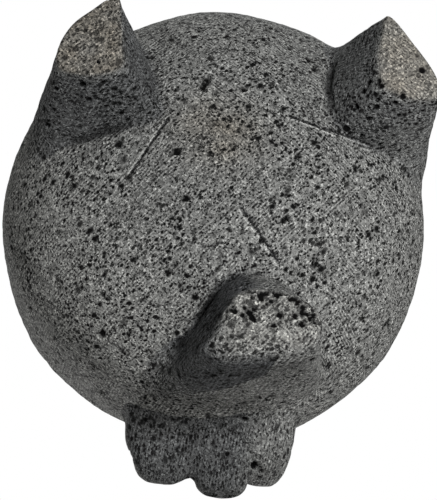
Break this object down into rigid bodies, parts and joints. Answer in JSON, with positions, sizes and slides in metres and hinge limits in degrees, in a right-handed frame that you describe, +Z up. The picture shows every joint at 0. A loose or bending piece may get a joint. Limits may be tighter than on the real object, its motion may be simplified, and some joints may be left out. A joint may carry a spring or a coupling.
{
  "type": "molcajete",
  "caption": "Carved basalt mortar on three stubby legs, with a pig's head at its rim and a loose stone pestle leaning in its basin.",
  "frame": {"origin": "on the ground plane under the feet, below the middle of the whole stone's box; the bowl's own axis is 15 mm behind it", "axes": "+Z up, out of the bowl's mouth; the pig's head points along -Y; +X is the pig's left"},
  "size_m": [0.2, 0.23, 0.1605],
  "materials": {
    "mortar_stone": "rough",
    "tejolote_stone": "rough"
  },
  "bodies": {
    "mortar": {"mortar_bowl": "mortar_stone", "leg_front": "mortar_stone", "leg_rear_left": "mortar_stone", "leg_rear_right": "mortar_stone", "pig_head": "mortar_stone", "pig_snout": "mortar_stone", "ear_left": "mortar_stone", "ear_right": "mortar_stone", "eye_left": "mortar_stone", "eye_right": "mortar_stone"},
    "pestle": {"tejolote": "tejolote_stone"}
  },
  "joints": [
    {"name": "tejolote_lift", "type": "slide", "parent": "mortar", "child": "pestle", "axis": [0, 0, 1], "range_m": [0, 0.09]}
  ]
}
